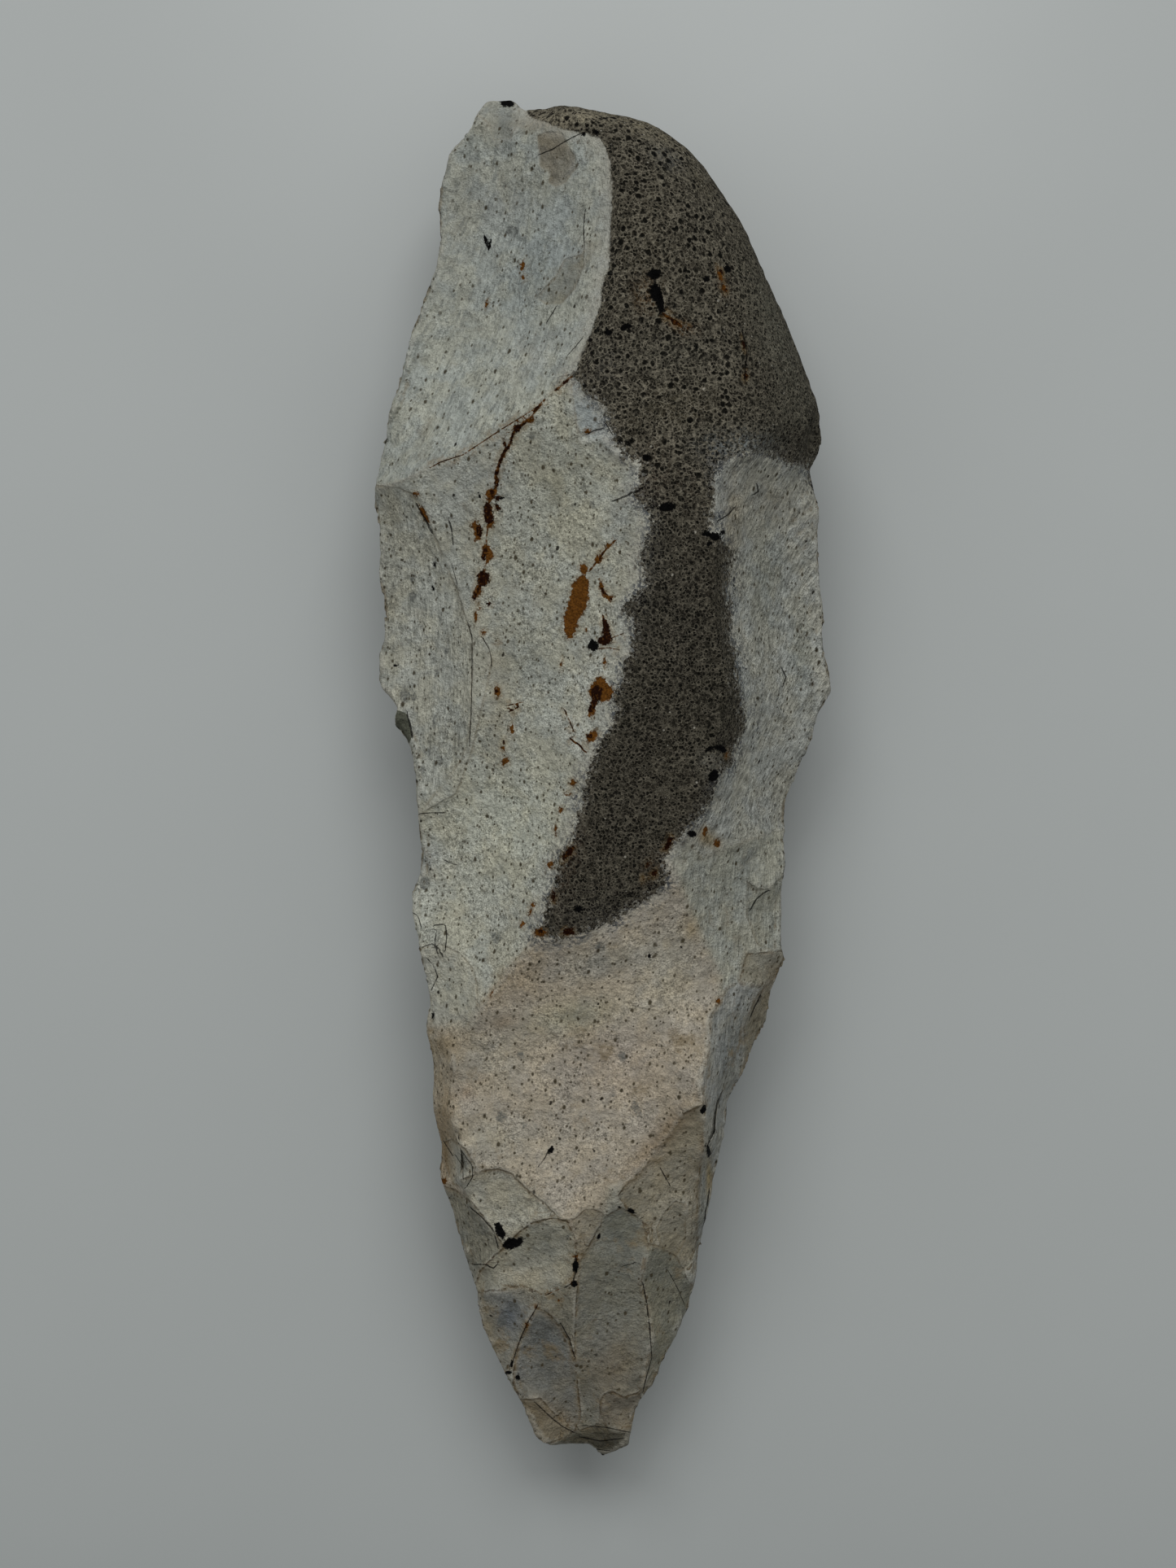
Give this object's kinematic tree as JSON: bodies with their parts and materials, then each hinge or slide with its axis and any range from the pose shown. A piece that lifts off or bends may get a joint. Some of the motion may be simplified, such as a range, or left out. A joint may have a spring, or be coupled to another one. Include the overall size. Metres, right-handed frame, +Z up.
{
  "type": "flint core axe",
  "caption": "Long flaked stone axe with a broad rind-covered butt, chipped edges and a narrow blunt working end.",
  "frame": {"origin": "under the middle of the stone's box, on the flat face that it rests on", "axes": "+Y to the broad butt, +X to the right of the picture, +Z up through the flaked upper face"},
  "size_m": [0.052, 0.155, 0.031],
  "materials": {
    "patinated_flint": "matte"
  },
  "bodies": {
    "root": {"flint_core_axe": "patinated_flint"}
  },
  "joints": []
}
